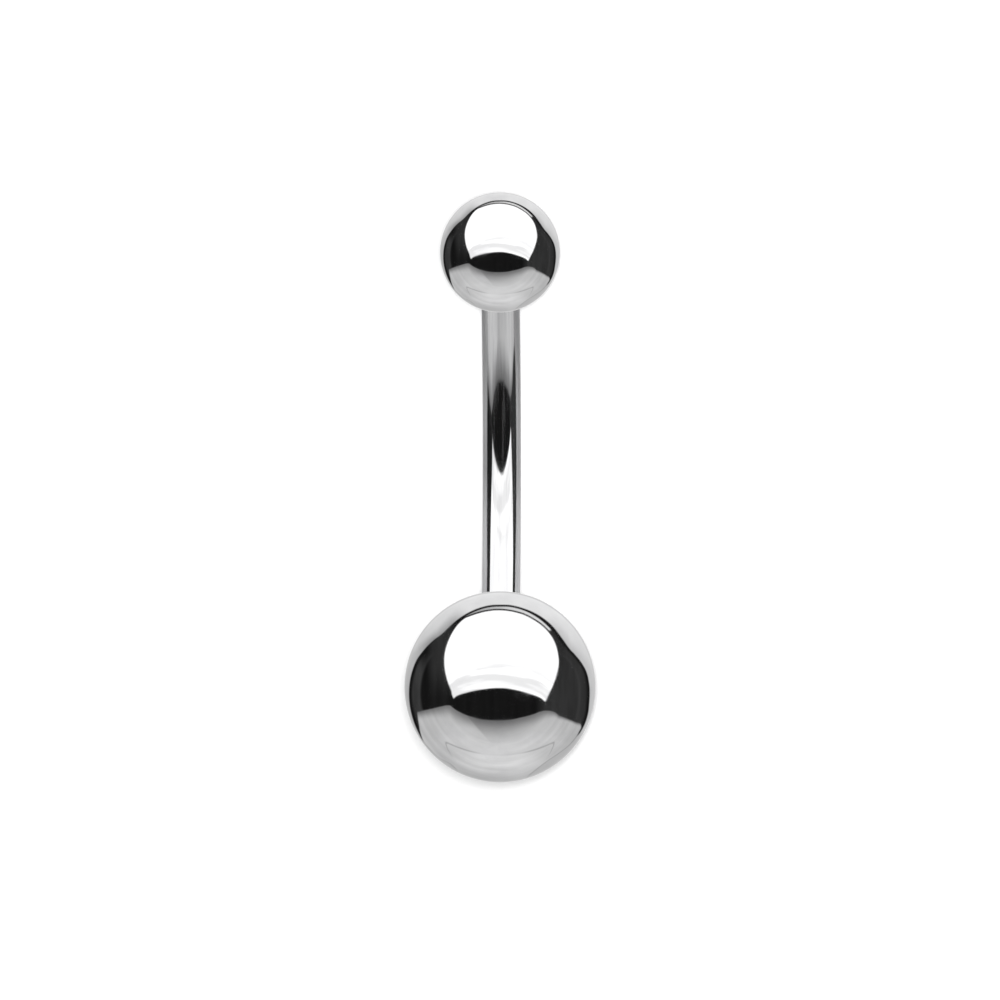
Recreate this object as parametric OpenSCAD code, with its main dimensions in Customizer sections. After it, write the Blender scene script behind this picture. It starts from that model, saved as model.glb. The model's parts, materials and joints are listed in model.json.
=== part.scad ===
// Navel ring: a curved barbell of polished surgical steel with two unequal balls.
// Each ball carries a threaded post that screws into a tapped socket in the end of the bar.
// It lies on a surface at Z = 0, carried by both balls and by the bend of the bar.
// X runs from the bottom ball to the top ball, and the inside of the bend faces -Y and up.

/* [Bar] */
// Diameter of the bar, 14 gauge
bar_d = 1.6; // [1.4:0.05:2.4]
// Straight distance between the bar's two end faces
bar_length = 12.7; // [9:0.1:18]
// Angle between the bar's two straight ends
bend_angle = 49; // [20:1:80]
// Length of each straight end
straight_end = 1.4; // [0.6:0.1:2.4]
// Wall left around a socket
socket_wall = 0.17; // [0.12:0.01:0.25]
// Chamfer around each end face
end_chamfer = 0.05; // [0.02:0.01:0.07]

/* [Balls] */
// Diameter of the large ball, worn in the navel
bottom_ball_d = 8; // [6:0.5:12]
// Diameter of the small ball, worn above the navel
top_ball_d = 5; // [4:0.5:6]
// Depth of the recess that takes the end of the bar
seat_depth = 0.15; // [0.05:0.05:0.4]
// Chamfer at the mouth of that recess
seat_chamfer = 0.06; // [0.02:0.01:0.12]

/* [Threaded posts] */
// Length of a post from the floor of the recess to its tip
post_length = 1.9; // [1.5:0.1:3]
// Distance between two crests of the thread
thread_pitch = 0.3; // [0.2:0.05:0.4]
// Height of a crest above the post's core
thread_depth = 0.12; // [0.06:0.01:0.15]
// Plain neck between the recess's floor and the thread
neck_length = 0.15; // [0.1:0.05:0.3]

/* [Clearances] */
// Radial clearance of a thread's crests in the socket
thread_clearance = 0.03; // [0.01:0.01:0.05]
// Radial clearance of the bar's end in a ball's recess
seat_clearance = 0.03; // [0.02:0.01:0.08]
// Gap between the bar's end face and the floor of the recess
face_gap = 0.02; // [0.01:0.01:0.05]
// Gap between a post's tip and the bottom of its socket
tip_gap = 0.2; // [0.1:0.05:0.4]

/* [Hidden] */
$fn = 96;

bottom = -1;
top = 1;
steel = [0.77, 0.77, 0.78];

bar_r = bar_d / 2;
socket_r = bar_r - socket_wall;
socket_depth = post_length + tip_gap - face_gap;
socket_chamfer = (socket_wall - end_chamfer) / 3;
drill_point_angle = 118;
drill_point = socket_r / tan(drill_point_angle / 2);

half_bend = bend_angle / 2;
bend_r = (bar_length / 2 - straight_end * cos(half_bend)) / sin(half_bend);
past_middle = 5;

crest_r = socket_r - thread_clearance;
thread_r = crest_r - thread_depth / 2;
core_share = 0.97;
core_r = core_share * (crest_r - thread_depth);
nose_length = core_r;
thread_length = post_length - neck_length - nose_length;
thread_sides = 20;
slices_per_turn = 12;

seat_r = bar_r + seat_clearance;

// Distance from a ball's centre to the floor of its recess
function seat_height(ball_d) = sqrt(pow(ball_d / 2, 2) - pow(seat_r, 2)) - seat_depth;

// The bend lies in the XZ plane round the origin, with its outside towards -Z
function bend_end(side) = bend_r * [side * sin(half_bend), 0, -cos(half_bend)];
function outward(side) = [side * cos(half_bend), 0, sin(half_bend)];
function ball_centre(side, ball_d) =
    bend_end(side) + (straight_end + face_gap + seat_height(ball_d)) * outward(side);

// How the ring lies: the line between the ball centres slopes down to the smaller ball,
// and the ring rolls about that line until the bend touches the surface.
bottom_centre = ball_centre(bottom, bottom_ball_d);
top_centre = ball_centre(top, top_ball_d);
centre_line = top_centre - bottom_centre;
centre_distance = norm(centre_line);
level_angle = atan2(centre_line.z, centre_line.x);
slope_angle = asin((bottom_ball_d - top_ball_d) / 2 / centre_distance);
bend_centre_along = -bottom_centre * centre_line / centre_distance;
bend_centre_above = norm(cross(bottom_centre, centre_line)) / centre_distance;
drop_to_bar = bottom_ball_d / 2 - bend_centre_along * sin(slope_angle) - bar_r;
rise = bend_centre_above * cos(slope_angle);
reach = bend_r * cos(slope_angle);
overhang = bend_r * sin(slope_angle);
spread = pow(reach, 2) - pow(rise, 2);
roll_cosine =
    (drop_to_bar * rise
        + sqrt(pow(drop_to_bar * rise, 2) + spread * (pow(drop_to_bar, 2) - pow(overhang, 2))))
    / spread;
roll_angle = acos(min(1, roll_cosine));
bottom_ball_x = -(centre_distance * cos(slope_angle) + (top_ball_d - bottom_ball_d) / 2) / 2;

module lying() {
    translate([bottom_ball_x, 0, bottom_ball_d / 2])
        rotate([0, slope_angle, 0])
            rotate([roll_angle, 0, 0])
                rotate([0, level_angle, 0])
                    translate(-bottom_centre)
                        children();
}

// Puts a shape at one end of the bend, with its +Z pointing away from the bend
module at_bend_end(side) {
    translate(bend_end(side))
        rotate([0, side * (90 - half_bend), 0])
            children();
}

module straight_bar_end() {
    rotate_extrude()
        polygon([
            [0, 0],
            [bar_r, 0],
            [bar_r, straight_end - end_chamfer],
            [bar_r - end_chamfer, straight_end],
            [0, straight_end]
        ]);
}

// Socket for a post: a plain bore with a drill's cone at its bottom and a chamfered mouth
module socket() {
    socket_floor = straight_end - socket_depth;
    rotate_extrude()
        polygon([
            [0, socket_floor],
            [socket_r, socket_floor + drill_point],
            [socket_r, straight_end - socket_chamfer],
            [socket_r + 2 * socket_chamfer, straight_end + socket_chamfer],
            [0, straight_end + socket_chamfer]
        ]);
}

// The bend from its end at Z = 0 back to just past its middle
module half_of_bend() {
    translate([-bend_r, 0, 0])
        rotate([-90, 0, 0])
            rotate_extrude(angle = half_bend + past_middle)
                translate([bend_r, 0])
                    circle(r = bar_r);
}

// One half of the bar, cut off at X = 0
module half_bar() {
    intersection() {
        translate([0, -bar_d, -2 * bend_r])
            cube([bar_length, 2 * bar_d, 4 * bend_r]);
        at_bend_end(top)
            difference() {
                union() {
                    straight_bar_end();
                    half_of_bend();
                }
                socket();
            }
    }
}

module bar() {
    color(steel)
        union() {
            half_bar();
            mirror([1, 0, 0]) half_bar();
        }
}

// Post with a plain neck, a core and a domed nose; Z = 0 is the floor of the recess
module post_core(sunk) {
    rotate_extrude() {
        translate([0, -sunk])
            square([core_r, sunk + post_length - nose_length]);
        translate([0, post_length - nose_length])
            intersection() {
                circle(r = core_r);
                square([core_r, nose_length]);
            }
    }
}

// Rounded right-hand thread: an off-centre disc turned about the post's axis
module thread() {
    turns = thread_length / thread_pitch;
    translate([0, 0, neck_length])
        linear_extrude(
            height = thread_length,
            twist = -360 * turns,
            slices = ceil(turns * slices_per_turn),
            $fn = thread_sides
        )
            translate([thread_depth / 2, 0])
                circle(r = thread_r);
}

// Ball with its centre at the origin and its post along +Z
module threaded_ball(ball_d) {
    floor_z = seat_height(ball_d);
    rim_z = floor_z + seat_depth;
    color(steel)
        union() {
            difference() {
                sphere(d = ball_d);
                translate([0, 0, floor_z])
                    cylinder(r = seat_r, h = ball_d);
                translate([0, 0, rim_z - seat_chamfer])
                    cylinder(r1 = seat_r, r2 = seat_r + ball_d, h = ball_d);
            }
            translate([0, 0, floor_z]) {
                post_core(sunk = ball_d / 4);
                thread();
            }
        }
}

module ball_on_bar(side, ball_d) {
    at_bend_end(side)
        translate([0, 0, straight_end + face_gap + seat_height(ball_d)])
            rotate([180, 0, 0])
                threaded_ball(ball_d);
}

lying() bar();
lying() ball_on_bar(top, top_ball_d);  // top_ball
lying() ball_on_bar(bottom, bottom_ball_d);  // bottom_ball
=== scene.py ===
# Navel ring: a curved steel bar with a ball screwed into each end, lying on a pale floor
import json
import math

import bpy
from mathutils import Matrix, Vector


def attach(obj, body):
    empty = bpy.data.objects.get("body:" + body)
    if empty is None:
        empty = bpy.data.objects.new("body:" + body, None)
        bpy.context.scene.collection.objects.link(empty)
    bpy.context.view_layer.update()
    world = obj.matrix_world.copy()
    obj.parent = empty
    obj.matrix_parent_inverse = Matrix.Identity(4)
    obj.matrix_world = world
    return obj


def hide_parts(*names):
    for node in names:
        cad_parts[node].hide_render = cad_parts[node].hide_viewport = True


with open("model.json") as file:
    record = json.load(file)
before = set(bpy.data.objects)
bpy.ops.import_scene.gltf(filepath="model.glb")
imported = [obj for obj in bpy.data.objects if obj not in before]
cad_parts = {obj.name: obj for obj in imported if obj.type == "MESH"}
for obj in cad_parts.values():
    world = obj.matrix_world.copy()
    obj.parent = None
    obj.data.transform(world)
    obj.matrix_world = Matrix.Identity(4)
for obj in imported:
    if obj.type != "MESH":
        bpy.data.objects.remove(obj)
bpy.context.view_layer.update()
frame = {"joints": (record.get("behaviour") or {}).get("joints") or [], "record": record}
mm = 0.001
print("frame loaded")


# Where the ring lies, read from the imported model

ring = {
    "straightEnd": 1.4 * mm,  # straight stretch at each end of the bar
    "faceGap": 0.02 * mm,  # between the bar's end face and the floor of a ball's seat
}

piercing = frame["record"]["mounts"][0]
joints = {joint["name"]: joint for joint in frame["joints"]}
ring["barRadius"] = piercing["dims"]["r_mm"] * mm
ring["barLength"] = piercing["dims"]["length_mm"] * mm

alongBar = Vector(piercing["axis"]).normalized()
topOut = Vector(joints["top_ball_unscrew"]["axis"]).normalized()
bottomOut = Vector(joints["bottom_ball_unscrew"]["axis"]).normalized()
insideWay = (topOut + bottomOut).normalized()
ring["halfBend"] = topOut.angle(alongBar)
ring["bendRadius"] = (
    ring["barLength"] / 2 - ring["straightEnd"] * math.cos(ring["halfBend"])
) / math.sin(ring["halfBend"])


def frameAt(origin, xWay, yWay, zWay):
    return Matrix.Translation(origin) @ Matrix((xWay, yWay, zWay)).transposed().to_4x4()


bendCentre = Vector(piercing["pos_m"]) + insideWay * ring["bendRadius"]
ringFrame = frameAt(bendCentre, alongBar, insideWay.cross(alongBar), insideWay)


def barEnd(side):
    half = ring["halfBend"]
    tangent = Vector((side * math.cos(half), 0, math.sin(half)))
    bendEnd = Vector((side * math.sin(half), 0, -math.cos(half))) * ring["bendRadius"]
    return ringFrame @ (bendEnd + tangent * ring["straightEnd"])


# Helpers for objects and nodes

def addObject(name, data):
    thing = bpy.data.objects.new(name, data)
    bpy.context.scene.collection.objects.link(thing)
    return thing


def wire(tree, node, inputs):
    for key, value in inputs.items():
        if isinstance(value, bpy.types.NodeSocket):
            tree.links.new(value, node.inputs[key])
        else:
            node.inputs[key].default_value = value
    return node


def addNode(tree, kind, inputs=None, **settings):
    node = tree.nodes.new(kind)
    for name, value in settings.items():
        setattr(node, name, value)
    return wire(tree, node, inputs or {})


def calc(tree, operation, *values):
    node = addNode(tree, "ShaderNodeMath", dict(enumerate(values)), operation=operation)
    return node.outputs[0]


def vectorCalc(tree, operation, *values):
    node = addNode(tree, "ShaderNodeVectorMath", dict(enumerate(values)), operation=operation)
    return node.outputs["Value" if operation in ("DOT_PRODUCT", "LENGTH") else "Vector"]


def scaled(tree, vector, scale):
    node = addNode(tree, "ShaderNodeVectorMath", {0: vector, "Scale": scale}, operation="SCALE")
    return node.outputs[0]


def mapRange(tree, value, fromLow, fromHigh, toLow=0.0, toHigh=1.0, smooth=True):
    node = addNode(tree, "ShaderNodeMapRange", {
        "Value": value, "From Min": fromLow, "From Max": fromHigh, "To Min": toLow, "To Max": toHigh,
    }, interpolation_type="SMOOTHSTEP" if smooth else "LINEAR")
    return node.outputs[0]


# Turned shapes

def turned(name, profile, sides):
    # profile runs from one pole to the other as (radius, height, thread share, faced share)
    points = []
    shares = {"threadShare": [], "facedShare": []}
    for radius, height, thread, faced in profile:
        for side in range(sides if radius > 0 else 1):
            angle = 2 * math.pi * side / sides
            points.append((radius * math.cos(angle), radius * math.sin(angle), height))
            shares["threadShare"].append(thread)
            shares["facedShare"].append(faced)

    faces = []
    uvs = []
    travelled = [0.0]
    for before, after in zip(profile, profile[1:]):
        travelled.append(travelled[-1] + math.hypot(after[0] - before[0], after[1] - before[1]))
    for row in range(len(profile) - 1):
        low, high = travelled[row], travelled[row + 1]
        for side in range(sides):
            following = (side + 1) % sides
            left, right = side / sides, (side + 1) / sides
            lower = 1 + (row - 1) * sides
            upper = 1 + row * sides
            if row == 0:
                faces.append((0, upper + following, upper + side))
                uvs.append(((left, low), (right, high), (left, high)))
            elif row == len(profile) - 2:
                faces.append((lower + side, lower + following, len(points) - 1))
                uvs.append(((left, low), (right, low), (left, high)))
            else:
                faces.append((lower + side, lower + following, upper + following, upper + side))
                uvs.append(((left, low), (right, low), (right, high), (left, high)))

    mesh = bpy.data.meshes.new(name)
    mesh.from_pydata(points, [], faces)
    for label, values in shares.items():
        mesh.attributes.new(label, "FLOAT", "POINT").data.foreach_set("value", values)
    layer = mesh.uv_layers.new(name="turnedMap")
    layer.data.foreach_set("uv", [c for face in uvs for corner in face for c in corner])
    mesh.shade_smooth()
    return addObject(name, mesh)


rounding = {
    "steps": 5,
    "support": 1.5,  # how far from the corner a support ring stands, as a share of the rounding's reach
}


def rounded(corners):
    # corners are (radius, height, rounding); each rounding becomes an arc between two support rings
    line = []
    for index, (radius, height, arc) in enumerate(corners):
        here = Vector((radius, height))
        if arc == 0:
            line.append(here)
            continue
        back = (Vector(corners[index - 1][:2]) - here).normalized()
        ahead = (Vector(corners[index + 1][:2]) - here).normalized()
        halfTurn = back.angle(ahead) / 2
        reach = arc / math.tan(halfTurn)
        centre = here + (back + ahead).normalized() * arc / math.sin(halfTurn)
        start, end = here + back * reach - centre, here + ahead * reach - centre
        line.append(here + back * reach * rounding["support"])
        for step in range(rounding["steps"] + 1):
            share = step / rounding["steps"]
            line.append(centre + (start * (1 - share) + end * share).normalized() * arc)
        line.append(here + ahead * reach * rounding["support"])
    return line


def straightSteps(radius, low, high, step):
    count = max(2, round(abs(high - low) / step))
    return [Vector((radius, low + (high - low) * i / count)) for i in range(count + 1)]


def finishTree(tree, geometry, material):
    realized = addNode(tree, "GeometryNodeRealizeInstances", {0: geometry})
    painted = addNode(tree, "GeometryNodeSetMaterial", {
        "Geometry": realized.outputs[0], "Material": material,
    })
    addNode(tree, "NodeGroupOutput", {0: painted.outputs[0]})


def newTree(name, inputs):
    tree = bpy.data.node_groups.new(name, "GeometryNodeTree")
    tree.interface.new_socket("Geometry", in_out="INPUT", socket_type="NodeSocketGeometry")
    for label, kind in inputs.items():
        tree.interface.new_socket(label, in_out="INPUT", socket_type="NodeSocket" + kind)
    tree.interface.new_socket("Geometry", in_out="OUTPUT", socket_type="NodeSocketGeometry")
    return tree, addNode(tree, "NodeGroupInput").outputs


def runTree(piece, tree, values):
    modifier = piece.modifiers.new(tree.name, "NODES")
    modifier.node_group = tree
    for item in tree.interface.items_tree:
        if item.in_out == "INPUT" and item.name in values:
            modifier[item.identifier] = values[item.name]
    depsgraph = bpy.context.evaluated_depsgraph_get()
    made = bpy.data.meshes.new_from_object(piece.evaluated_get(depsgraph))
    piece.modifiers.remove(modifier)
    made.name = piece.name
    piece.data = made


# Geometry Nodes: a thread cut along a turned wall

threadShape = {
    "pitch": 0.3 * mm,
    "valley": 0.3,  # how softly the valleys are rounded
    "fullness": 0.4,  # smaller makes the crests fuller
}


def threadTree():
    tree, given = newTree("cutThread", {
        "Height": "Float", "Start": "Float", "Turn": "Float", "Material": "Material",
    })
    softness, fullness = threadShape["valley"] ** 2, threadShape["fullness"]
    position = addNode(tree, "GeometryNodeInputPosition").outputs[0]
    apart = addNode(tree, "ShaderNodeSeparateXYZ", {0: position}).outputs
    share = addNode(tree, "GeometryNodeInputNamedAttribute", {"Name": "threadShare"}, data_type="FLOAT")
    turn = calc(tree, "DIVIDE", calc(tree, "ARCTAN2", apart[1], apart[0]), 2 * math.pi)
    climbed = calc(tree, "DIVIDE", calc(tree, "SUBTRACT", apart[2], given["Start"]), threadShape["pitch"])
    place = calc(tree, "FRACT", calc(tree, "ADD", calc(tree, "SUBTRACT", climbed, turn), given["Turn"]))
    sine = calc(tree, "SINE", calc(tree, "MULTIPLY", place, math.pi))
    softened = calc(tree, "POWER", calc(tree, "MULTIPLY_ADD", sine, sine, softness), fullness)
    crest = mapRange(tree, softened, softness**fullness, (1 + softness) ** fullness, smooth=False)
    rise = calc(tree, "MULTIPLY", calc(tree, "MULTIPLY", crest, given["Height"]), share.outputs[0])
    outward = vectorCalc(tree, "NORMALIZE", vectorCalc(tree, "MULTIPLY", position, (1, 1, 0)))
    moved = addNode(tree, "GeometryNodeSetPosition", {
        "Geometry": given["Geometry"], "Offset": scaled(tree, outward, rise),
    })
    finishTree(tree, moved.outputs[0], given["Material"])
    return tree


# Geometry Nodes: a straight bar bent into its arc, with straight ends

def bendTree():
    tree, given = newTree("bendBar", {
        "Bend Radius": "Float", "Half Bend": "Float", "Material": "Material",
    })
    position = addNode(tree, "GeometryNodeInputPosition").outputs[0]
    apart = addNode(tree, "ShaderNodeSeparateXYZ", {0: position}).outputs
    bendRadius, halfBend = given["Bend Radius"], given["Half Bend"]
    unclamped = calc(tree, "DIVIDE", apart[2], bendRadius)
    angle = calc(tree, "MINIMUM", unclamped, halfBend)
    angle = calc(tree, "MAXIMUM", angle, calc(tree, "MULTIPLY", halfBend, -1))
    past = calc(tree, "SUBTRACT", apart[2], calc(tree, "MULTIPLY", angle, bendRadius))
    sine, cosine = calc(tree, "SINE", angle), calc(tree, "COSINE", angle)
    reach = calc(tree, "ADD", bendRadius, apart[0])
    across = calc(tree, "ADD", calc(tree, "MULTIPLY", reach, sine), calc(tree, "MULTIPLY", past, cosine))
    up = calc(tree, "SUBTRACT", calc(tree, "MULTIPLY", past, sine), calc(tree, "MULTIPLY", reach, cosine))
    bent = addNode(tree, "ShaderNodeCombineXYZ", {0: across, 1: apart[1], 2: up}).outputs[0]
    moved = addNode(tree, "GeometryNodeSetPosition", {"Geometry": given["Geometry"], "Position": bent})
    finishTree(tree, moved.outputs[0], given["Material"])
    return tree


cutThread = threadTree()
bendBar = bendTree()
print("node trees built")


# Polished steel, with faint marks left by the buffing wheel, painted shade in its recesses and paler
# painted sides on the bar

steelLook = {
    "edgeTint": 0.52,  # how much of the light steel still mirrors at 82 degrees off its normal
    "smudgeFade": (0.45, 0.75),  # noise levels between which a cloudy patch fades in
    "creviceFade": (0.2, 0.95, 0.12, 1.0),  # painted shade in recesses: openness from and to, and the colour's tone at each
    "lathe": 0.03 * mm,  # distance between the rings that the lathe left on a cut face
    "latheDepth": 0.0006 * mm,
    "latheHaze": 0.12,
}
ballSteelLook = {
    "dull": (0.775, 0.775, 0.785, 1),
    "bright": (0.82, 0.82, 0.825, 1),
    "polish": 0.045,
    "smudge": 0.05,  # how much rougher the cloudy patches are
    "smudgeSize": 1.1 * mm,
    "hairline": 0.03,  # how much rougher the fine hairlines are
    "hairlineSize": 0.05 * mm,
    "hairlineTurn": (0.4, 0.7, 0.2),
    "hairlineStretch": (1, 0.06, 1),
    "hairlineFade": (0.62, 0.70),
    "wave": 0.0012 * mm,  # height of the slow unevenness under the polish
    "waveSize": 3.0 * mm,
    "crevice": 0.22 * mm,  # how far off a surface still darkens another with painted shade
}
barSteelLook = {
    "dull": (0.70, 0.70, 0.71, 1),
    "bright": (0.83, 0.83, 0.835, 1),
    "polish": 0.05,
    "smudge": 0.03,
    "smudgeSize": 0.6 * mm,
    "drawn": 0.05,  # how much rougher the drawn lines are
    "drawnLines": 26,  # drawn lines around the bar
    "drawnLength": 5.0 * mm,
    "drawnFade": (0.36, 0.66),
    "smear": 0.05,  # how much the strongest drawn lines dull the polish
    "smearFade": (0.5, 0.72),
    "edge": (0.33, 0.40),  # where the gloss turns hazy, as the surface turns away
    "edgeHaze": (0.55, 0.77),  # between the drawn lines, and on them
    "largeEnd": (3.4 * mm, 8.6 * mm, 1.7, 1.0),  # the haze grows towards the large ball
    "smallEnd": (10.5 * mm, 14.5 * mm, 1.0, 0.65),  # and thins out towards the small one
    "side": (0.74, 0.80),  # where the bar's painted paler sides begin, as the sine of the turn from its front
    # how much paler the sides are painted, a painted sheen
    "paintedSideSheen": 1.10,
    # painted shade in the bores and thread grooves reaches this far
    "crevice": 1.2 * mm,
}


def newSteel(name, look):
    material = bpy.data.materials.new(name)
    material.use_nodes = True
    tree = material.node_tree
    tree.nodes.clear()
    tint = (steelLook["edgeTint"],) * 3 + (1,)
    shader = addNode(tree, "ShaderNodeBsdfPrincipled", {"Metallic": 1.0, "Specular Tint": tint})
    addNode(tree, "ShaderNodeOutputMaterial", {"Surface": shader.outputs[0]})
    place = addNode(tree, "ShaderNodeTexCoord").outputs["Object"]
    smudge = addNode(tree, "ShaderNodeTexNoise", {
        "Vector": place, "Scale": 1 / look["smudgeSize"], "Detail": 5.0, "Roughness": 0.6,
    })
    smudged = mapRange(tree, smudge.outputs[0], *steelLook["smudgeFade"])
    roughness = calc(tree, "MULTIPLY_ADD", smudged, look["smudge"], look["polish"])
    # painted shade: the colour darkens where the piece's own shape hides its surroundings, in the
    # threads, bores and seats
    corner = addNode(
        tree, "ShaderNodeAmbientOcclusion", {"Distance": look["crevice"]}, only_local=True, samples=8
    )
    paintedShading = mapRange(tree, corner.outputs["AO"], *steelLook["creviceFade"])
    # faces cut on the lathe keep its rings, which run around the piece
    turnedMap = addNode(tree, "ShaderNodeUVMap", uv_map="turnedMap").outputs[0]
    around, along, _ = addNode(tree, "ShaderNodeSeparateXYZ", {0: turnedMap}).outputs
    rings = addNode(tree, "ShaderNodeTexNoise", {
        "W": calc(tree, "DIVIDE", along, steelLook["lathe"]), "Scale": 1.0, "Detail": 3.0,
    }, noise_dimensions="1D")
    faced = addNode(tree, "ShaderNodeAttribute", attribute_name="facedShare").outputs["Fac"]
    latheMarks = calc(tree, "MULTIPLY", faced, rings.outputs[0])
    return {
        "material": material, "tree": tree, "shader": shader, "place": place, "around": around,
        "along": along, "smudged": smudged, "paintedShading": paintedShading, "faced": faced,
        "roughness": calc(tree, "MULTIPLY_ADD", latheMarks, steelLook["latheHaze"], roughness),
        "height": calc(tree, "MULTIPLY", latheMarks, steelLook["latheDepth"]),
    }


def steelColour(tree, look, dullness, paintedShading):
    base = addNode(tree, "ShaderNodeMix", data_type="RGBA")
    wire(tree, base, {0: dullness, 6: look["bright"], 7: look["dull"]})
    # the steel's colour is scaled by the painted shade, and on the bar also by its painted paler sides
    return scaled(tree, base.outputs[2], paintedShading)


def bump(tree, height):
    node = addNode(tree, "ShaderNodeBump", {"Height": height, "Strength": 1.0, "Distance": 1.0})
    return node.outputs[0]


def ballSteelMaterial():
    look = ballSteelLook
    steel = newSteel("ballSteel", look)
    tree = steel["tree"]
    crossed = addNode(tree, "ShaderNodeMapping", {
        "Vector": steel["place"], "Rotation": look["hairlineTurn"], "Scale": look["hairlineStretch"],
    })
    hairlines = addNode(tree, "ShaderNodeTexNoise", {
        "Vector": crossed.outputs[0], "Scale": 1 / look["hairlineSize"], "Detail": 2.0,
    })
    scratched = mapRange(tree, hairlines.outputs[0], *look["hairlineFade"])
    wave = addNode(tree, "ShaderNodeTexNoise", {
        "Vector": steel["place"], "Scale": 1 / look["waveSize"], "Detail": 1.0,
    })
    height = calc(tree, "MULTIPLY_ADD", wave.outputs[0], look["wave"], steel["height"])
    wire(tree, steel["shader"], {
        "Base Color": steelColour(tree, look, steel["smudged"], steel["paintedShading"]),
        "Roughness": calc(tree, "MULTIPLY_ADD", scratched, look["hairline"], steel["roughness"]),
        "Normal": bump(tree, height),
    })
    return steel["material"]


def barSteelMaterial():
    look = barSteelLook
    steel = newSteel("barSteel", look)
    tree, along = steel["tree"], steel["along"]
    # drawn lines run along the bar, so their noise is read on a circle and stretched along it
    turn = calc(tree, "MULTIPLY", steel["around"], 2 * math.pi)
    sine, cosine = calc(tree, "SINE", turn), calc(tree, "COSINE", turn)
    reach = look["drawnLines"] / (2 * math.pi)
    circle = addNode(tree, "ShaderNodeCombineXYZ", {
        0: calc(tree, "MULTIPLY", cosine, reach),
        1: calc(tree, "MULTIPLY", sine, reach),
        2: calc(tree, "DIVIDE", along, look["drawnLength"]),
    })
    lines = addNode(tree, "ShaderNodeTexNoise", {
        "Vector": circle.outputs[0], "Scale": 1.0, "Detail": 4.0, "Roughness": 0.65,
    }).outputs[0]
    drawn = mapRange(tree, lines, *look["drawnFade"])
    drawn = calc(tree, "MULTIPLY", drawn, calc(tree, "SUBTRACT", 1, steel["faced"]))
    facing = addNode(tree, "ShaderNodeLayerWeight", {"Blend": 0.5}).outputs["Facing"]
    haze = mapRange(tree, drawn, 0, 1, *look["edgeHaze"])
    haze = calc(tree, "MULTIPLY", mapRange(tree, facing, *look["edge"]), haze)
    for ballEnd in ("largeEnd", "smallEnd"):
        haze = calc(tree, "MULTIPLY", haze, mapRange(tree, along, *look[ballEnd]))
    roughness = calc(tree, "MULTIPLY_ADD", drawn, look["drawn"], steel["roughness"])
    # painted sheen: the bar's two sides are painted paler than its front and back, standing in for the
    # light they mirror at a slant
    side = mapRange(tree, calc(tree, "ABSOLUTE", sine), *look["side"])
    tone = mapRange(tree, side, 0, 1, 1.0, look["paintedSideSheen"], smooth=False)
    paintedShading = calc(tree, "MULTIPLY", steel["paintedShading"], tone)
    wire(tree, steel["shader"], {
        "Base Color": steelColour(tree, look, drawn, paintedShading),
        "Roughness": calc(tree, "ADD", roughness, haze),
        "Metallic": mapRange(tree, lines, *look["smearFade"], 1.0, 1.0 - look["smear"]),
        "Normal": bump(tree, steel["height"]),
    })
    return steel["material"]


ballSteel = ballSteelMaterial()
barSteel = barSteelMaterial()
print("steel mixed")


# Balls, each one piece with its threaded post

ballShape = {
    "sides": 192,
    "topRadius": 2.5 * mm,
    "bottomRadius": 4.0 * mm,
    "arcStep": math.radians(1.5),
    "seatRadius": ring["barRadius"] + 0.03 * mm,
    "seatDepth": 0.15 * mm,
    "seatChamfer": 0.06 * mm,
    "edge": 0.012 * mm,  # rounding of the turned edges
}
postShape = {
    "length": 1.9 * mm,
    "coreRadius": 0.466 * mm,
    "neck": 0.15 * mm,
    "threadHeight": 0.134 * mm,
    "runOut": 0.12 * mm,  # where the thread fades in and out
    "fillet": 0.05 * mm,
    "ringStep": 0.0065 * mm,
    "noseSteps": 14,
}


def seatHeight(ballRadius):
    return math.sqrt(ballRadius**2 - ballShape["seatRadius"] ** 2) - ballShape["seatDepth"]


def ballProfile(ballRadius):
    seat, edge = ballShape["seatRadius"], ballShape["edge"]
    floor = seatHeight(ballRadius)
    mouth = floor + ballShape["seatDepth"] - ballShape["seatChamfer"]
    # the chamfer's cone meets the sphere this far out from the seat's wall
    lean = seat + mouth
    out = (-lean + math.sqrt(lean**2 - 2 * (seat**2 + mouth**2 - ballRadius**2))) / 2
    rim = math.atan2(mouth + out, seat + out)

    steps = round((rim + math.pi / 2) / ballShape["arcStep"])
    angles = [-math.pi / 2 + (rim + math.pi / 2) * i / steps for i in range(steps)]
    sphere = [Vector((ballRadius * math.cos(a), ballRadius * math.sin(a))) for a in angles]
    sphere[0].x = 0.0

    core = postShape["coreRadius"]
    neckTop = floor + postShape["neck"]
    noseStart = floor + postShape["length"] - core
    corners = [
        (*sphere[-1], 0),
        (seat + out, mouth + out, edge),
        (seat, mouth, edge),
        (seat, floor, edge),
        (core, floor, postShape["fillet"]),
        (core, neckTop, 0),
    ]
    wall = straightSteps(core, neckTop, noseStart, postShape["ringStep"])
    noseSteps = postShape["noseSteps"]
    noseAngles = [math.pi / 2 * i / noseSteps for i in range(1, noseSteps + 1)]
    nose = [Vector((math.cos(a), math.sin(a))) * core + Vector((0, noseStart)) for a in noseAngles]
    nose[-1].x = 0.0
    turnedLine = sphere[:-1] + rounded(corners)[:-1] + wall + nose

    def thread(point):
        fromStart, toEnd = point.y - wall[0].y, wall[-1].y - point.y
        return max(0.0, min(1.0, fromStart / postShape["runOut"], toEnd / postShape["runOut"]))

    seatRows = range(len(sphere), len(turnedLine) - len(wall) - len(nose))
    return [(p.x, p.y, thread(p), float(row in seatRows)) for row, p in enumerate(turnedLine)]


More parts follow.
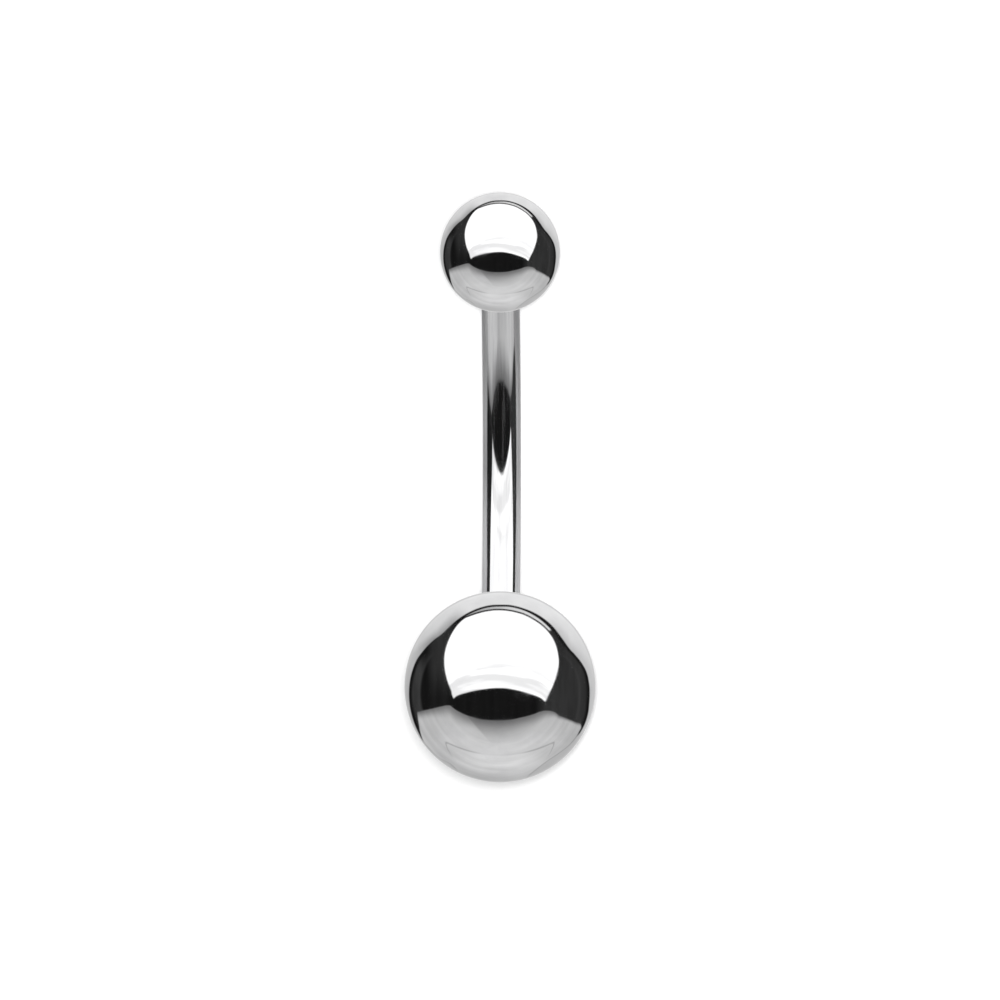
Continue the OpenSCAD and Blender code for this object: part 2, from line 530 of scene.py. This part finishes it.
def makeBall(name, ballRadius, side, outWay):
    piece = turned(name, ballProfile(ballRadius), ballShape["sides"])
    runTree(piece, cutThread, {
        "Height": postShape["threadHeight"],
        "Start": seatHeight(ballRadius) + postShape["neck"],
        "Turn": 0.0,
        "Material": ballSteel,
    })
    centre = barEnd(side) + outWay * (ring["faceGap"] + seatHeight(ballRadius))
    across = ringFrame.to_3x3().col[1]
    piece.data.transform(frameAt(centre, across.cross(-outWay), across, -outWay))
    return piece, centre


bottomBall, bottomCentre = makeBall("bottomBall", ballShape["bottomRadius"], -1, bottomOut)
topBall, topCentre = makeBall("topBall", ballShape["topRadius"], 1, topOut)
print("balls turned and threaded")


# Bar, bent by its rule, with a tapped socket in each end

barShape = {
    "sides": 128,
    "ringStep": 0.06 * mm,
    "endRounding": 0.05 * mm,
    "endRings": (0.15 * mm, 0.20 * mm),  # rings that hold the rounding, this far from the end face
    "socketRadius": 0.63 * mm,
    "socketDepth": 2.08 * mm,
    "drillAngle": math.radians(118),
    "mouthChamfer": 0.04 * mm,
    "mouthRounding": 0.008 * mm,
    "boreStep": 0.013 * mm,
    "boreRingsLess": 3,  # the bore's last rings make way for its rounded mouth
    "grooveDepth": 0.05 * mm,
    "grooveTurn": 0.5,  # the grooves start half a turn from the posts' crests
    "runOut": 0.15 * mm,
    "wallTolerance": 0.0001 * mm,
}


def barProfile():
    halfLength = ring["bendRadius"] * ring["halfBend"] + ring["straightEnd"]
    socket, barRadius = barShape["socketRadius"], ring["barRadius"]
    chamfer, soft = barShape["mouthChamfer"], barShape["mouthRounding"]
    firstRing, secondRing = barShape["endRings"]
    cone = socket / math.tan(barShape["drillAngle"] / 2)
    bottom = halfLength - barShape["socketDepth"]
    bore = straightSteps(socket, bottom + cone, halfLength - chamfer, barShape["boreStep"])
    mouth = rounded([
        (socket, halfLength - 2 * chamfer, 0),
        (socket, halfLength - chamfer, soft),
        (socket + chamfer, halfLength, soft),
        (barRadius, halfLength, barShape["endRounding"]),
        (barRadius, halfLength - firstRing, 0),
    ])
    tail = halfLength - secondRing
    outer = straightSteps(barRadius, tail, -tail, barShape["ringStep"])
    half = [Vector((0, bottom))] + bore[:-barShape["boreRingsLess"]] + mouth[1:]
    deepest, shallowest = bore[0].y, bore[-1].y

    def thread(point):
        ends = (point.y - deepest) / barShape["runOut"], (shallowest - point.y) / chamfer
        onWall = abs(point.x - socket) < barShape["wallTolerance"]
        return max(0.0, min(1.0, *ends)) if onWall else 0.0

    def faced(point):
        return float(point.x < barRadius - barShape["endRounding"])

    top = [(p.x, p.y, thread(p), faced(p)) for p in half]
    return [(r, -z, *rest) for r, z, *rest in top] + [(p.x, -p.y, 0.0, 0.0) for p in outer] + top[::-1]


def makeBar():
    piece = turned("bentBar", barProfile(), barShape["sides"])
    runTree(piece, cutThread, {
        "Height": barShape["grooveDepth"],
        "Start": 0.0,
        "Turn": barShape["grooveTurn"],
        "Material": barSteel,
    })
    runTree(piece, bendBar, {
        "Bend Radius": ring["bendRadius"],
        "Half Bend": ring["halfBend"],
        "Material": barSteel,
    })
    piece.data.transform(ringFrame)
    return piece


bentBar = makeBar()
print("bar bent")

for piece, node, finish in (
    (bentBar, "bar", "bar_steel"),
    (topBall, "top_ball", "ball_steel"),
    (bottomBall, "bottom_ball", "ball_steel"),
):
    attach(piece, node)
    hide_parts(node)
    piece.visible_glossy = False


# Camera at the photo's angle, looking into the bend

photo = {
    "side": 1000,  # the photo is square
    "topBall": (499.9, 252.7),  # ball centres in the photo
    "bottomBall": (499.9, 687.1),
    "topLean": math.radians(3.6),  # the top ball leans this much towards the camera
    "sideTurn": math.radians(1.6),  # how far the camera stands to the right of the bend's plane
    "lens": 400,
    "sensor": 36,
    "clip": (0.01, 5),
}

betweenBalls = topCentre - bottomCentre
lineUp = betweenBalls.normalized()
acrossBend = ringFrame.to_3x3().col[1]
facing = lineUp.cross(acrossBend).normalized()
if facing.dot(insideWay) < 0:
    facing = -facing
sideways = lineUp.cross(facing)
level = facing * math.cos(photo["sideTurn"]) + sideways * math.sin(photo["sideTurn"])
toCamera = level * math.cos(photo["topLean"]) + lineUp * math.sin(photo["topLean"])
imageUp = lineUp * math.cos(photo["topLean"]) - level * math.sin(photo["topLean"])
imageRight = imageUp.cross(toCamera)


def placeCamera():
    pixels = photo["bottomBall"][1] - photo["topBall"][1]
    metresPerPixel = betweenBalls.dot(imageUp) / pixels
    middle = (topCentre + bottomCentre) / 2
    across = photo["side"] / 2 - (photo["topBall"][0] + photo["bottomBall"][0]) / 2
    down = photo["side"] / 2 - (photo["topBall"][1] + photo["bottomBall"][1]) / 2
    aim = middle + imageRight * across * metresPerPixel - imageUp * down * metresPerPixel
    distance = photo["side"] * metresPerPixel * photo["lens"] / photo["sensor"]
    data = bpy.data.cameras.new("photoCamera")
    data.lens, data.sensor_width = photo["lens"], photo["sensor"]
    data.clip_start, data.clip_end = photo["clip"]
    camera = addObject("photoCamera", data)
    camera.matrix_world = frameAt(aim + toCamera * distance, imageRight, imageUp, toCamera)
    bpy.context.scene.camera = camera


placeCamera()
print("camera placed, looking down by", round(math.degrees(math.asin(toCamera.z)), 1), "degrees")


# Studio: what the steel mirrors, laid out as it shows on a ball of radius 1 seen by the camera.
# Below, a ramp is (from, to, value at from, value at to), a band is (low, high, softness)
# and a grain is (scale, scale, seed) with the noise's detail after it where it isn't 3.

studio = {
    "plain": 0.6,  # even light that falls on the floor
    "edge": 0.007,  # half the width of an outline's soft edge
    "hub": 0.3,  # round outlines are read from this height on the ball
    "grainSpan": (0.3, 0.7),  # noise levels that a tone's mottle runs between
    # straight behind the ring everything meets in one point, which is kept plain
    "farRim": (0.978, 0.996, 0.0, 1.0),
    "farTone": 0.6,
    "tintPeak": 1 / 7,  # cosine at which the steel's edge tint darkens most
    "tintScale": 17.65,  # makes the tint's dip 1 there
    # round outlines: degrees clockwise from the top, distance
    "windowEdge": [
        (-180, 0.66), (-132, 0.636), (-122, 0.604), (-104, 0.587), (-86, 0.579), (-68, 0.568),
        (-50, 0.563), (-43, 0.558), (-37, 0.544), (-31, 0.530), (-20, 0.514), (-8, 0.505), (4, 0.502),
        (16, 0.506), (28, 0.518), (40, 0.533), (52, 0.557), (64, 0.581), (72, 0.595), (88, 0.611),
        (96, 0.617), (106, 0.615), (118, 0.620), (126, 0.630), (140, 0.655), (180, 0.66),
    ],
    "cardEdge": [
        (-180, 1.3), (-150, 1.22), (-143, 1.207), (-134, 1.160), (-125, 1.108), (-110, 1.009),
        (-98, 0.922), (-92, 0.875), (-86, 0.818), (-80, 0.764), (-74, 0.712), (-68, 0.664),
        (-62, 0.637), (-50, 0.607), (-38, 0.587), (-26, 0.574), (-8, 0.565), (0, 0.562), (10, 0.568),
        (22, 0.576), (34, 0.593), (46, 0.617), (58, 0.645), (70, 0.676), (76, 0.700), (82, 0.733),
        (88, 0.792), (94, 0.860), (100, 0.922), (106, 0.969), (118, 1.052), (124, 1.098),
        (131, 1.137), (150, 1.2), (180, 1.3),
    ],
    # level outlines: place from left to right, height
    "horizon": [
        (-1, -0.4), (-0.49, -0.125), (-0.45, -0.088), (-0.358, -0.056), (-0.197, -0.020),
        (-0.01, -0.003), (0.151, -0.021), (0.298, -0.060), (0.42, -0.107), (0.468, -0.145), (1, -0.5),
    ],
    "tableEdge": [
        (-1, -0.30), (-0.867, -0.276), (-0.786, -0.250), (-0.693, -0.225), (-0.599, -0.200),
        (-0.535, -0.189), (-0.519, -0.190), (-0.500, -0.204), (-0.425, -0.253), (-0.291, -0.305),
        (-0.117, -0.338), (0.057, -0.338), (0.218, -0.312), (0.351, -0.278), (0.43, -0.250),
        (0.48, -0.243), (0.619, -0.300), (0.740, -0.352), (0.82, -0.388), (1, -0.42),
    ],
    # upright outlines: height, place from left to right
    "tableLeft": [
        (-1, -0.33), (-0.825, -0.483), (-0.736, -0.640), (-0.645, -0.733), (-0.593, -0.777),
        (-0.501, -0.816), (-0.41, -0.836), (-0.266, -0.860), (1, -1),
    ],
    "tableRight": [
        (-1, 0.2), (-0.783, 0.472), (-0.679, 0.629), (-0.595, 0.733), (-0.48, 0.817),
        (-0.425, 0.838), (-0.39, 0.825), (-0.36, 0.78), (1, 0.9),
    ],
}
backdropLook = {
    "height": (-0.2, 0.95, 0.58, 0.92),  # brightest at the top
    "tilt": 0.05,  # brighter towards the right
    "left": (-0.75, -0.2, 0.94, 1.0),
    "rim": (0.92, 1.0, 0.0, 0.02),
    # shade next to the cards, by the turn and by the distance from the card
    "leftShade": (-85, -64, 0.55, 0.40),
    "leftReach": (0.0, 0.11, 1.0, 0.0),
    "leftTurn": (-86, -42, 12),
    "rightReach": (0.0, 0.10, 0.20, 0.0),
    "rightTurn": (55, 95, 12),
    "grain": (0.05, 9.0, 1.0),
    "mottle": (0.97, 1.03),
}
cardLook = {
    "tone": 0.009,
    # a lighter band on the left card, and a lighter patch inside it
    "bandInset": (0.035, 0.13, 0.016),
    "bandTurn": (-135, -92, 8),
    "bandTone": 0.036,
    "patch": (-0.72, -0.5, 0.06),
    "patchHeight": (-0.15, 0.25, 0.15, 1.0),
    "patchTone": 0.024,
    # a grey face on the right card, with a lighter line along it
    "face": (0.42, 0.06),  # where it starts, and how softly
    "faceInset": (0.015, 0.05, 0.0, 1.0),
    "faceTone": 0.026,
    "lineInset": (0.10, 0.13, 0.012),
    "lineTone": 0.25,
    "grain": (15.0, 1.6, 2.0),
    "mottle": (0.85, 1.2),
}
gapLook = {
    "inset": (20, 62, 0.021, 0.038),  # from the cards' edge, by the turn
    "outset": 0.017,  # from the window's edge
    "softness": 0.005,
    "turn": (-41, 61, 1.5),
    "tone": (-40, 30, 0.42, 0.86),
}
tableLook = {
    # shade under the far edge: its depth on the right and on the left, then its tone
    "shadeRight": (0.3, 0.7, 0.16, 0.035),
    "shadeLeft": (-0.85, -0.45, 0.10, 0.16),
    "shade": (-0.06, 1.0, 0.36, 1.0),
    # cast shadow right of a slanted line
    "slant": (0.87, -0.598, 0.012),  # slope, place and softness of that line
    "shadow": (0.0, 0.62, 1.0, 0.0),
    "shadowDepth": (0.10, 0.27, 0.25, 0.0),
    "tone": 0.585,
    # sheen in the middle, and on both wings
    "sheenHeight": (-0.72, -0.45, 0.20, 0.06),
    "sheenAside": (0.15, 0.6, 1.0, 0.0),
    "wing": 0.07,
    "wingAside": (0.26, 0.62, 0.09),
    "wingHeight": (-0.62, -0.38, 0.08),
    "nearEnd": (-0.97, -0.80, 0.70, 1.0),
    "grain": (2.2, 6.0, 3.0, 5.0),
    "mottle": (0.96, 1.035),
    "strokeGrain": (1.7, 24.0, 4.0),
    "strokes": (0.4, 0.85, 0.12, 0.45),  # stronger towards the rim
}
sheetLook = {
    # its two long edges: height in the middle, bend, and the power that the bend grows by
    "top": (-0.706, 0.42, 2),
    "low": (-0.83, 7.4, 6),
    "corner": 0.09,
    "outline": (-0.007, 0.007, 0.006),
    "outlineAside": (0.16, 0.34, 0.06, 0.34),
    "outlineTop": (-0.14, -0.06, 0.0, 1.0),
    "paler": 0.03,
}
besideLook = {
    "tone": 0.56,
    "edge": (0.0, 0.02, 0.74, 1.0),
    "top": (-0.55, 0.04, 0.03),  # height, slope and softness
    "grain": (4.0, 4.0, 6.0),
    "mottle": (0.95, 1.04),
}
windowLook = {
    "tone": 1.35,
    # a veil between two heights above the horizon
    "veilLow": (0.028, 0.012),  # height and softness
    "veilTop": (-0.3, 0.15, 0.10, 0.15),
    "veilTopSoftness": 0.022,
    "veil": (-0.45, 0.2, 0.14, 0.20),
    "veilBrushed": (0.0, 1.0, 0.4, 1.0),
    # brushed streaks above the horizon
    "lean": 0.8,
    "grain": (1.6, 13.0, 5.0),
    "brushed": (0.36, 0.60, 0.0, 1.0),
    "streaks": (0.3, 1.0, 0.0, 0.24),
    "streaksHeight": (0.16, 0.34, 1.0, 0.0),
}


def curve(tree, value, low, high, points):
    values = [y for _, y in points]
    bottom, top = min(values), max(values)
    share = mapRange(tree, value, low, high, smooth=False)
    node = addNode(tree, "ShaderNodeFloatCurve", {"Value": share})
    line = node.mapping.curves[0]
    placed = [((x - low) / (high - low), (y - bottom) / (top - bottom)) for x, y in points]
    line.points[0].location, line.points[-1].location = placed[0], placed[-1]
    for place in placed[1:-1]:
        line.points.new(*place)
    node.mapping.update()
    return mapRange(tree, node.outputs[0], 0, 1, bottom, top, smooth=False)


def mix(tree, share, first, second):
    between = calc(tree, "SUBTRACT", second, first)
    return calc(tree, "MULTIPLY_ADD", share, between, first)


def studioTone(tree, x, u):
    # x and u are the place on that ball, to the right and up
    def add(first, second):
        return calc(tree, "ADD", first, second)

    def less(first, second):
        return calc(tree, "SUBTRACT", first, second)

    def times(*values):
        product = values[0]
        for value in values[1:]:
            product = calc(tree, "MULTIPLY", product, value)
        return product

    def distance(first, second):
        return calc(tree, "SQRT", add(times(first, first), times(second, second)))

    def ramp(value, fromLow, fromHigh, toLow, toHigh):
        return mapRange(tree, value, fromLow, fromHigh, toLow, toHigh)

    def under(value, limit, blur=studio["edge"]):
        return mapRange(tree, less(limit, value), -blur, blur)

    def between(value, low, high, blur):
        return times(under(low, value, blur), under(value, high, blur))

    def grain(first, second, firstScale, secondScale, seed, detail=3.0):
        place = addNode(tree, "ShaderNodeCombineXYZ", {
            0: times(first, firstScale), 1: times(second, secondScale), 2: seed,
        })
        noise = addNode(tree, "ShaderNodeTexNoise", {
            "Vector": place.outputs[0], "Scale": 1.0, "Detail": detail,
        })
        return noise.outputs[0]

    def mottled(tone, first, second, look):
        noise = grain(first, second, *look["grain"])
        return times(tone, ramp(noise, *studio["grainSpan"], *look["mottle"]))

    fromHub = less(u, studio["hub"])
    turn = times(calc(tree, "ARCTAN2", x, fromHub), 180 / math.pi)
    radius = distance(fromHub, x)
    fromMiddle = distance(u, x)
    aside = calc(tree, "ABSOLUTE", x)
    windowEdge = curve(tree, turn, -180, 180, studio["windowEdge"])
    cardEdge = curve(tree, turn, -180, 180, studio["cardEdge"])
    horizon = curve(tree, x, -1, 1, studio["horizon"])
    tableEdge = curve(tree, x, -1, 1, studio["tableEdge"])
    tableLeft = curve(tree, u, -1, 1, studio["tableLeft"])
    tableRight = curve(tree, u, -1, 1, studio["tableRight"])

    look = backdropLook
    pastCard = less(radius, cardEdge)
    leftShade = times(ramp(turn, *look["leftShade"]), ramp(pastCard, *look["leftReach"]))
    leftShade = times(leftShade, between(turn, *look["leftTurn"]))
    rightShade = times(ramp(pastCard, *look["rightReach"]), between(turn, *look["rightTurn"]))
    backdrop = add(ramp(u, *look["height"]), times(x, look["tilt"]))
    backdrop = add(times(backdrop, ramp(x, *look["left"])), ramp(fromMiddle, *look["rim"]))
    backdrop = times(backdrop, less(1.0, add(leftShade, rightShade)))
    backdrop = mottled(backdrop, turn, radius, look)

    # black cards left and right
    look = cardLook
    inCard = less(cardEdge, radius)
    band = times(between(inCard, *look["bandInset"]), between(turn, *look["bandTurn"]))
    patch = times(between(x, *look["patch"]), ramp(u, *look["patchHeight"]))
    start, softness = look["face"]
    face = times(under(start, x, softness), ramp(inCard, *look["faceInset"]))
    face = times(face, add(1.0, times(between(inCard, *look["lineInset"]), look["lineTone"])))
    card = add(look["tone"], add(times(band, look["bandTone"]), times(patch, look["patchTone"])))
    card = mottled(add(card, times(face, look["faceTone"])), x, u, look)

    # light gap along the top of the cards
    look = gapLook
    gapTop = less(cardEdge, ramp(turn, *look["inset"]))
    gapLow = add(windowEdge, look["outset"])
    gap = times(under(radius, gapTop, look["softness"]), under(gapLow, radius, look["softness"]))
    gap = times(gap, between(turn, *look["turn"]))
    card = mix(tree, gap, card, ramp(turn, *look["tone"]))

    look = tableLook
    depth = less(tableEdge, u)
    shadeReach = calc(tree, "MINIMUM", ramp(x, *look["shadeRight"]), ramp(x, *look["shadeLeft"]))
    shade = ramp(calc(tree, "DIVIDE", depth, shadeReach), *look["shade"])
    slope, place, softness = look["slant"]
    shadow = under(0.0, less(add(x, times(u, slope)), place), softness)
    shadow = times(shadow, ramp(x, *look["shadow"]), ramp(depth, *look["shadowDepth"]))
    sheen = times(ramp(u, *look["sheenHeight"]), ramp(aside, *look["sheenAside"]))
    wings = times(between(aside, *look["wingAside"]), between(u, *look["wingHeight"]))
    sheen = add(add(look["tone"], sheen), times(look["wing"], wings))
    table = times(shade, less(1.0, shadow), sheen, ramp(u, *look["nearEnd"]))
    table = mottled(table, x, u, look)
    strokes = less(grain(x, fromMiddle, *look["strokeGrain"]), 0.5)  # lighter and darker by turns
    table = times(table, add(1.0, times(strokes, ramp(fromMiddle, *look["strokes"]))))

    # a sheet of paper on the table: a thin shaded outline with rounded corners
    look = sheetLook
    height, bend, power = look["top"]
    sheetTop = add(height, times(bend, calc(tree, "POWER", aside, power)))
    height, bend, power = look["low"]
    sheetLow = add(height, times(bend, calc(tree, "POWER", aside, power)))
    inSheet = calc(tree, "SMOOTH_MIN", less(sheetTop, u), less(u, sheetLow), look["corner"])
    outline = times(between(inSheet, *look["outline"]), ramp(aside, *look["outlineAside"]))
    outline = times(outline, ramp(less(u, sheetTop), *look["outlineTop"]))
    table = times(table, less(1.0, outline), add(1.0, times(under(0.0, inSheet), look["paler"])))

    # floor beside the table, seen past its left and right edges
    look = besideLook
    pastTable = calc(tree, "MAXIMUM", less(x, tableRight), less(tableLeft, x))
    beside = mottled(times(look["tone"], ramp(pastTable, *look["edge"])), x, u, look)
    height, slope, softness = look["top"]
    besideTable = times(under(0.0, pastTable), under(u, add(height, times(x, slope)), softness))

    look = windowLook
    aboveHorizon = less(u, horizon)
    brushed = grain(add(x, times(aboveHorizon, look["lean"])), aboveHorizon, *look["grain"])
    brushed = ramp(brushed, *look["brushed"])
    height, softness = look["veilLow"]
    veilTop = under(aboveHorizon, ramp(x, *look["veilTop"]), look["veilTopSoftness"])
    veil = times(under(height, aboveHorizon, softness), veilTop)
    veil = times(veil, ramp(x, *look["veil"]), ramp(brushed, *look["veilBrushed"]))
    streaks = times(ramp(brushed, *look["streaks"]), ramp(aboveHorizon, *look["streaksHeight"]))
    window = times(look["tone"], less(1.0, calc(tree, "MAXIMUM", veil, streaks)))

    onTable = times(under(u, tableEdge), times(under(tableLeft, x), under(x, tableRight)))
    inWindow = times(under(radius, windowEdge), under(horizon, u))
    tone = mix(tree, under(radius, cardEdge), backdrop, card)
    tone = mix(tree, besideTable, tone, beside)
    tone = mix(tree, onTable, tone, table)
    tone = mix(tree, inWindow, tone, window)
    tone = mix(tree, ramp(fromMiddle, *studio["farRim"]), tone, studio["farTone"])

    # the studio is brighter where the steel's edge tint darkens it in the photo's view
    towards = less(1.0, times(fromMiddle, fromMiddle))
    cosine = calc(tree, "SQRT", calc(tree, "MAXIMUM", studio["tintPeak"] ** 2, towards))
    dip = times(studio["tintScale"], times(cosine, calc(tree, "POWER", less(1.0, cosine), 6)))
    return calc(tree, "DIVIDE", tone, less(1.0, times(dip, 1 - steelLook["edgeTint"])))


def studioWorld():
    world = bpy.data.worlds.new("studio")
    bpy.context.scene.world = world
    world.use_nodes = True
    tree = world.node_tree
    tree.nodes.clear()
    direction = addNode(tree, "ShaderNodeTexCoord").outputs["Generated"]
    halfway = vectorCalc(tree, "NORMALIZE", vectorCalc(tree, "ADD", direction, tuple(toCamera)))
    x = vectorCalc(tree, "DOT_PRODUCT", halfway, tuple(imageRight))
    u = vectorCalc(tree, "DOT_PRODUCT", halfway, tuple(imageUp))
    white = (1, 1, 1, 1)
    tone = studioTone(tree, x, u)
    studioLight = addNode(tree, "ShaderNodeBackground", {"Color": white, "Strength": tone})
    plainLight = addNode(tree, "ShaderNodeBackground", {"Color": white, "Strength": studio["plain"]})
    glossy = addNode(tree, "ShaderNodeLightPath").outputs["Is Glossy Ray"]
    mixed = addNode(tree, "ShaderNodeMixShader", {
        0: glossy, 1: plainLight.outputs[0], 2: studioLight.outputs[0],
    })
    addNode(tree, "ShaderNodeOutputWorld", {0: mixed.outputs[0]})
    world.cycles.sampling_method = "NONE"


studioWorld()


# Lamp in line with the top ball, so that only the large ball shows its shadow

softLamp = {
    "energy": 0.68,
    "width": 42 * mm,
    "reach": 0.27,  # distance from the top ball, towards the camera
}


def placeLamp():
    data = bpy.data.lights.new("softLamp", "AREA")
    data.shape, data.size, data.energy = "DISK", softLamp["width"], softLamp["energy"]
    lamp = addObject("softLamp", data)
    lampWay = (bpy.context.scene.camera.matrix_world.translation - topCentre).normalized()
    lamp.matrix_world = frameAt(topCentre + lampWay * softLamp["reach"], imageRight, imageUp, toCamera)
    lamp.visible_camera = False
    lamp.visible_glossy = False


placeLamp()


# Pale matt floor

paleFloor = {
    "half": 0.6,  # half the length of its sides
    "colour": (0.96, 0.96, 0.96, 1),
    "roughness": 0.9,
}


def makeFloor():
    half = paleFloor["half"]
    corners = [(-half, -half, 0), (half, -half, 0), (half, half, 0), (-half, half, 0)]
    mesh = bpy.data.meshes.new("floor")
    mesh.from_pydata(corners, [], [(0, 1, 2, 3)])
    floor = addObject("floor", mesh)
    material = bpy.data.materials.new("paleFloor")
    material.use_nodes = True
    wire(material.node_tree, material.node_tree.nodes["Principled BSDF"], {
        "Base Color": paleFloor["colour"],
        "Roughness": paleFloor["roughness"],
        "Specular IOR Level": 0.0,
    })
    mesh.materials.append(material)
    floor.visible_glossy = False


makeFloor()
bpy.context.scene.view_settings.view_transform = "Standard"
print("studio lit")
